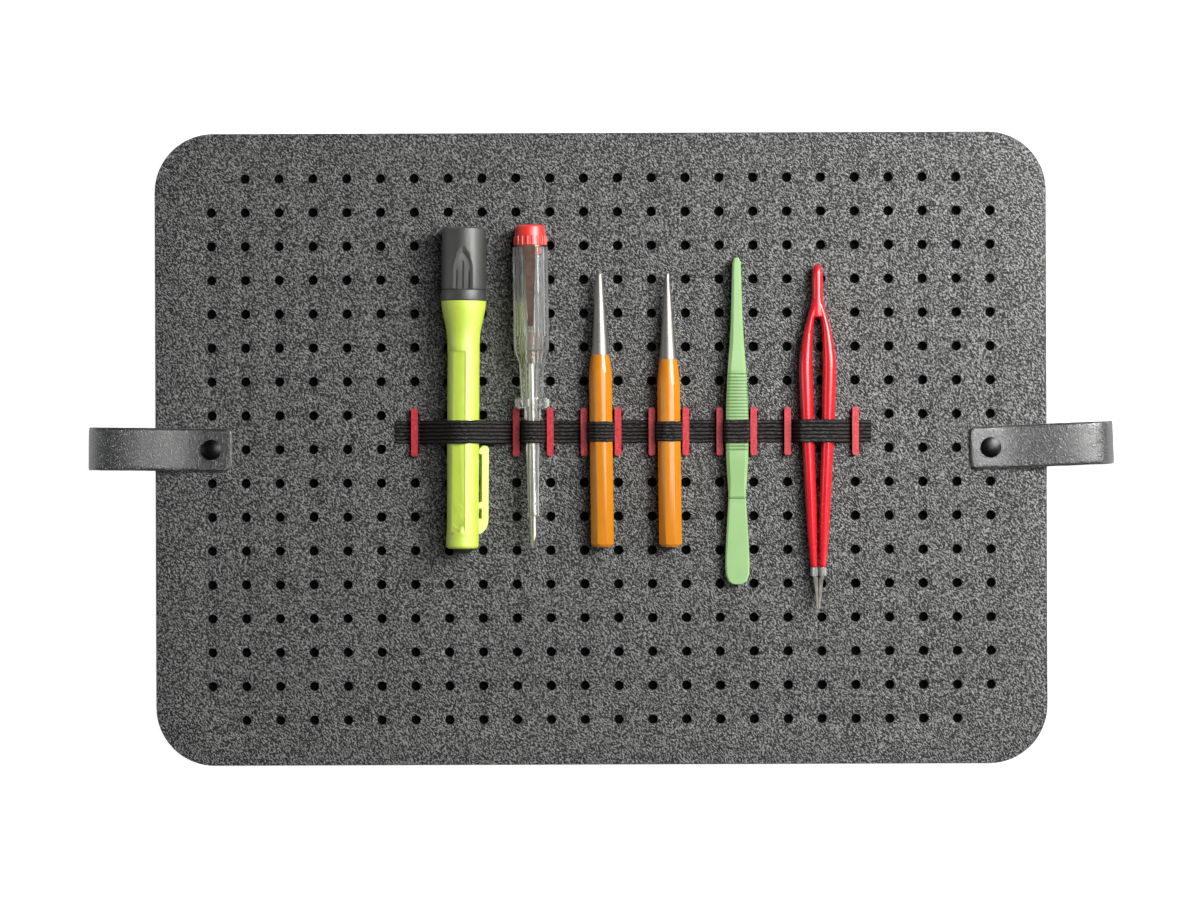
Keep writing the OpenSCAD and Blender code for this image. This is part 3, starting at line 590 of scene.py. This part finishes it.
def band_path():
    """The band's underside from end to end, in the XZ plane."""
    corner = PUNCH_AF / 2 * math.tan(math.radians(22.5))
    path = [Vector((col_x(6) - 8.6, TOP_Z))]
    path += over_round(6, 9, TORCH_X, TORCH_Z, TORCH_R + 0.4)
    path += over_round(9, 10, TESTER_X, TESTER_Z, 3.95)
    for x in PUNCH_X:
        path += over_flat(x, PUNCH_AF / 2 + HUG, corner + HUG * 0.6, PUNCH_Z + corner + HUG * 0.6,
                          PUNCH_Z + PUNCH_AF / 2 + HUG)
    path += over_flat(GREEN_X, 5 + HUG, 4.25, GREEN_Z + 3.3, GREEN_Z + GREEN_DEPTH / 2 + 2 * HUG)
    bow, bevel = 8.4, 0.9
    side_z, peak = RED_Z + 0.8, RED_Z + RED_DEPTH / 2 + 2 * HUG
    over_red = [(foot_x(17, 1), TOP_Z), (RED_X - bow - bevel, side_z), (RED_X - bow + bevel, peak),
                (RED_X + bow - bevel, peak), (RED_X + bow + bevel, side_z), (foot_x(19, -1), TOP_Z)]
    path += [Vector(p) for p in over_red]
    return path + [Vector((col_x(19) + 7.2, TOP_Z))]


def build_band():
    """The elastic as a ribbed strip that follows its path and draws in a little over the tools."""
    path = spaced(cut_corners(band_path(), 0.45), 0.7)
    normals = sideways(path)
    ribs, per_rib, half = 6, 8, 5.0
    rings = []
    for i, (point, normal) in enumerate(zip(path, normals)):
        x = point[0]
        lift = min(1.0, max(0.0, (point[1] - TOP_Z) / 8))
        narrow = 1 - lift * (0.13 if min(abs(x - PUNCH_X[0]), abs(x - PUNCH_X[1])) < 9 else
                             0.05 if abs(x - TESTER_X) < 6 else 0.0)
        drift = 0.14 * noise.noise(Vector((x / 7, 3.1, point[1] / 6)))
        wide = half * narrow + 0.3 * noise.noise(Vector((x / 2.4, 9.7, point[1] / 2.4)))
        ring = []
        count = ribs * per_rib
        for k in range(count + 1):
            t = k / count
            bulge = abs(math.sin(math.pi * ribs * t)) ** 0.7
            fade = min(1.0, 6 * t, 6 * (1 - t))
            wobble = 0.05 * noise.noise(Vector((x * 1.9, t * 30, point[1])))
            height = BAND_T * (0.45 + 0.45 * bulge * (0.5 + 0.5 * fade)) + wobble
            ring.append((-wide + 2 * wide * t, height))
        ring += [(wide + 0.06, BAND_T * 0.35), (wide - 0.1, 0.06), (-wide + 0.1, 0.06),
                 (-wide - 0.06, BAND_T * 0.35)]
        rings.append([(x + normal[0] * v, BAND_Y + drift + u, point[1] + normal[1] * v) for u, v in ring])
    verts = [v for ring in rings for v in ring]
    faces = ring_faces(len(rings), len(rings[0]))
    piece = new_piece("elastic_band_knit", verts, faces, LOOKS["elastic"], "board", ["elastic_band"])
    across = [abs(math.sin(math.pi * ribs * k / count)) for k in range(count + 1)] + [1.0] * 4
    shade = piece.data.attributes.new("rib", "FLOAT", "POINT")
    shade.data.foreach_set("value", across * len(rings))


# ---------------------------------------------------------------- leather loops

STRAP_W, STRAP_T = 19, 1.6
LOOP_REACH, TAIL = 54.6, 9


def loop_line():
    """A loop's middle line from one cut end to the other; x runs out from the rivet."""
    front = TOP_Z + 0.1 + STRAP_T / 2
    back = BACK_Z - 0.1 - STRAP_T / 2
    points = [(-TAIL, front), (0, front), (5, front + 0.05), (10, front + 0.5), (16, front + 1.6),
              (25, front + 3.7), (34, front + 5.4), (42, front + 6), (LOOP_REACH - 6, front + 5),
              (LOOP_REACH - 2.4, front + 1.9), (LOOP_REACH - STRAP_T / 2, 5.4), (LOOP_REACH - 3.4, 1.9),
              (46, STRAP_T / 2 + 0.15), (36, STRAP_T / 2 + 0.1), (26, STRAP_T / 2 + 0.25),
              (16, back - 0.2), (8, back), (0, back), (-TAIL, back)]
    return smooth_curve(points, 8)


def build_strap(side, turn, seed):
    """One folded strap: smooth faces, slightly wavy raw edges and rounded ends."""
    path = loop_line()
    normals = sideways(path)
    length = [0.0]
    for a, b in zip(path, path[1:]):
        length.append(length[-1] + (b - a).length)
    corner, half_t = 2.5, STRAP_T / 2
    across = 14
    rings = []
    for s, point, normal in zip(length, path, normals):
        from_end = min(s, length[-1] - s)
        cut = corner - math.sqrt(max(0.0, corner ** 2 - (corner - min(from_end, corner)) ** 2))
        wave = 0.10 * noise.noise(Vector((s / 5, seed, 0)))
        half = STRAP_W / 2 - cut - 0.1
        thin = half_t * (1 if from_end > 0.4 else 0.8)
        ring = []
        for face in (1, -1):
            for k in range(across + 1):
                u = face * (1 - 2 * k / across)
                edge = min(1.0, (1 - abs(u)) * half / 0.7)
                dome = thin * (0.80 + 0.20 * math.sqrt(edge))
                dent = 0.04 * noise.noise(Vector((s / 4, u * 3, seed + 5)))
                ring.append((u * half + wave, face * (dome + dent) - (0.04 if face > 0 else -0.04)))
            rough = 0.13 * noise.noise(Vector((s * 1.7, seed, face * 4)))
            ring.append((-face * (half + 0.07 + rough) + wave, face * thin * 0.25))
            ring.append((-face * (half + 0.07 - rough) + wave, -face * thin * 0.25))
        rings.append([(point[0] + normal[0] * v, -u, point[1] + normal[1] * v) for u, v in ring])
    count = len(rings[0])
    spin = Matrix.Rotation(math.radians(turn), 4, "Z")
    verts = [spin @ Vector(v) + Vector((side * RIVET_X, 0, 0)) for ring in rings for v in ring]
    faces = ring_faces(len(rings), count)
    row = across + 3
    raw = [j * count + i for j in range(len(rings) - 1) for i in range(count) if i % row >= across]
    raw += [len(faces) - 1, len(faces) - 2]
    name = "left" if side < 0 else "right"
    new_piece(f"strap_{name}_leather", verts, faces, LOOKS["leather"], f"strap_{name}",
              [f"strap_{name}"], edge_faces=raw, edge_look=LOOKS["raw_edge"])


# ---------------------------------------------------------------- red tweezers

# A red arm from its shoulder to its dipped end: (y, centre's x, half width, half depth).
RED_ARM = [(50, 4.25, 2.25, 3.6), (43, 4.9, 2.75, 3.85), (36, 5.25, 3.05, 4.1), (27, 5.05, 3.1, 4.2),
           (19, 4.8, 3.0, 4.2), (7, 4.45, 2.85, 4.0), (-4, 4.0, 2.7, 3.8), (-16, 3.5, 2.6, 3.5),
           (-28, 3.0, 2.4, 3.1), (-40, 2.55, 2.1, 2.7), (-52.6, 1.95, 1.55, 2.2)]


def oval_ring(y, x, rx, rz):
    """A slightly squared oval round the red tweezers' middle line, x to the side of it."""
    count, square = 28, 0.86
    out = []
    for i in range(count):
        a = 2 * math.pi * (i + 0.5) / count
        c, s = math.cos(a), math.sin(a)
        wide = rx * math.copysign(abs(c) ** square, c)
        deep = rz * math.copysign(abs(s) ** square, s)
        out.append((RED_X + x + wide, y, RED_Z + deep))
    return out


def tube(rings):
    """Vertices and faces of a closed tube through rings."""
    return [v for ring in rings for v in ring], ring_faces(len(rings), len(rings[0]))


def build_red_arm(side):
    """One dipped grip; side is -1 for the left and 1 for the right."""
    line = smooth_curve(RED_ARM, 6)
    start = [oval_ring(52.5, side * 3.86, 1.94, 3.45), oval_ring(51.2, side * 4.06, 2.08, 3.5)]
    rings = start + [oval_ring(y, side * x, rx - 0.02, rz - 0.02) for y, x, rx, rz in line]
    end_y, end_x, end_rx, end_rz = line[-1]
    rings.append(oval_ring(end_y - 0.12, side * end_x, end_rx - 0.25, end_rz - 0.25))
    verts, faces = tube(rings)
    name = "left" if side < 0 else "right"
    new_piece(f"red_grip_{name}_dipped", verts, faces, LOOKS["red"], f"red_arm_{name}",
              [f"red_tweezers_grip_{name}"])


def build_red_neck():
    """The joined end, its two shoulders and the crotch between them, melted into one skin."""
    plan = smooth_curve([(81, 0.9), (80, 1.7), (78, 2.3), (74, 2.6), (68, 2.5), (64, 2.9), (60, 3.9),
                         (57.6, 4.4)], 4)
    verts, faces = tube([oval_ring(y, 0, w, min(3.5, w + 1.1)) for y, w in plan])
    for side in (-1, 1):
        stub = smooth_curve([(63, 1.2, 1.7, 3.4), (60, 2.1, 1.8, 3.45), (57, 2.95, 1.75, 3.5),
                             (53.5, 3.7, 1.95, 3.55), (50, 4.25, 2.29, 3.62)], 5)
        more_verts, more_faces = tube([oval_ring(y, side * x, rx, rz) for y, x, rx, rz in stub])
        faces += [[i + len(verts) for i in face] for face in more_faces]
        verts += more_verts
    neck = new_piece("red_neck_dipped", verts, faces, LOOKS["red"], "red_tweezers",
                     ["red_tweezers_neck"])
    melt = neck.modifiers.new("melt", "REMESH")
    melt.mode = "VOXEL"
    melt.voxel_size = 0.28 * MM
    melt.use_smooth_shade = True
    soften = neck.modifiers.new("soften", "SMOOTH")
    soften.iterations = 16
    soften.factor = 0.6


# ---------------------------------------------------------------- assembly

build_board()
build_band()
build_strap(-1, 180 - 0.8, 1.3)
build_strap(1, 2.2, 7.7)
for i in range(1, 12):
    rounded(f"band_clip_{i}", LOOKS["clip"], 0.55)
for side in ("left", "right"):
    rounded(f"rivet_cap_{side}", LOOKS["rivet"], 0.25)
    rounded(f"rivet_post_{side}", LOOKS["rivet"], 0.25)
    build_red_arm(-1 if side == "left" else 1)
    rounded(f"red_tweezers_blade_{side}", LOOKS["steel"], 0.12, 2)
    rounded(f"red_tweezers_collar_{side}", LOOKS["clear"], 0.2, angle=40)
build_red_neck()

# The look of each remaining node, and how far its edges are rounded over in millimetres.
FINISHES = {
    "torch_body": ("lime", 0.25), "torch_pocket_clip": ("lime", 0.35), "torch_tail_cap": ("lime", 0.3),
    "torch_head": ("grey", 0.18), "torch_seal_ring": ("seal", 0.2), "torch_button": ("rubber", 0.4),
    "torch_lens": ("lens", 0.2), "torch_reflector": ("reflector", 0.05), "torch_led_module": ("led", 0.2),
    "torch_battery_front": ("cell", 0.3), "torch_battery_rear": ("cell", 0.3),
    "torch_contact_spring": ("spring", 0),
    "tester_handle": ("clear", 0.4), "tester_cap": ("tester_red", 0.25),
    "tester_pocket_clip": ("clip_steel", 0.1),
    "tester_blade": ("steel", 0.08), "tester_sleeve": ("clear", 0.1), "tester_neon_lamp": ("lamp", 0.2),
    "tester_resistor": ("resistor", 0.3), "tester_spring": ("spring", 0),
    "punch_left": ("punch_left", 0.35), "punch_right": ("punch_right", 0.35),
    "green_tweezers_lower_arm": ("green", 0.12), "green_tweezers_upper_arm": ("green", 0.12),
}
for node, (look, width) in FINISHES.items():
    rounded(node, LOOKS[look], width, angle=22 if node.startswith("green") else 30)

# ---------------------------------------------------------------- floor, light and camera


def sheet_of(name, corner, height, look):
    """A level rectangle of the set, centred on the origin."""
    x, y = corner
    mesh = bpy.data.meshes.new(name)
    corners = [(-x, -y, height), (x, -y, height), (x, y, height), (-x, y, height)]
    mesh.from_pydata(corners, [], [(0, 1, 2, 3)])
    mesh.materials.append(look.mat)
    piece = bpy.data.objects.new(name, mesh)
    bpy.context.scene.collection.objects.link(piece)


def area_light(name, place, size, power, color):
    """A rectangular lamp that faces the origin."""
    data = bpy.data.lights.new(name, "AREA")
    data.shape = "RECTANGLE"
    data.size, data.size_y = size
    data.energy = power
    data.color = color
    light = bpy.data.objects.new(name, data)
    light.location = place
    light.rotation_euler = (-Vector(place)).to_track_quat("-Z", "Y").to_euler()
    bpy.context.scene.collection.objects.link(light)


white = Look("floor_white", (0.35, 0.35, 0.35), 0.8)
white.set("Emission Color", (1, 1, 1, 1))
white.set("Emission Strength", 0.95)
sheet_of("floor", (3.0, 3.0), 0.0, white)
# A black sheet under the board: painted shade that keeps its holes dark.
sheet_of("hole_shade_pad", (0.178, 0.1245), 0.00005, Look("hole_shade_black", (0.004, 0.004, 0.004), 0.9))
area_light("key", (0.44, 0.24, 0.50), (0.30, 0.34), 6.2, (1.0, 0.99, 0.97))
area_light("high", (0.53, 0.26, 1.45), (0.64, 0.70), 8.5, (1.0, 0.995, 0.98))
area_light("side", (1.05, -0.35, 0.48), (0.30, 0.80), 2.6, (1.0, 0.99, 0.97))
area_light("fill", (-0.95, 0.05, 0.40), (0.25, 0.90), 1.1, (0.96, 0.98, 1.0))

world = bpy.data.worlds.new("studio")
bpy.context.scene.world = world
world.use_nodes = True
backdrop = world.node_tree.nodes["Background"]
backdrop.inputs["Color"].default_value = (0.93, 0.97, 1.0, 1)
backdrop.inputs["Strength"].default_value = 0.05

FIELD = 0.5316                                 # width of the view at the board's face
DISTANCE = 1.4                                 # from the camera to the board's face
SENSOR = 36
camera_data = bpy.data.cameras.new("camera")
camera_data.sensor_width = SENSOR
camera_data.lens = SENSOR * DISTANCE / FIELD
camera = bpy.data.objects.new("camera", camera_data)
camera.location = (-0.0005, -0.0006, TOP_Z * MM + DISTANCE)
camera.rotation_euler = (0, 0, math.radians(-0.2))
bpy.context.scene.collection.objects.link(camera)
bpy.context.scene.camera = camera
bpy.context.scene.view_settings.view_transform = "Standard"
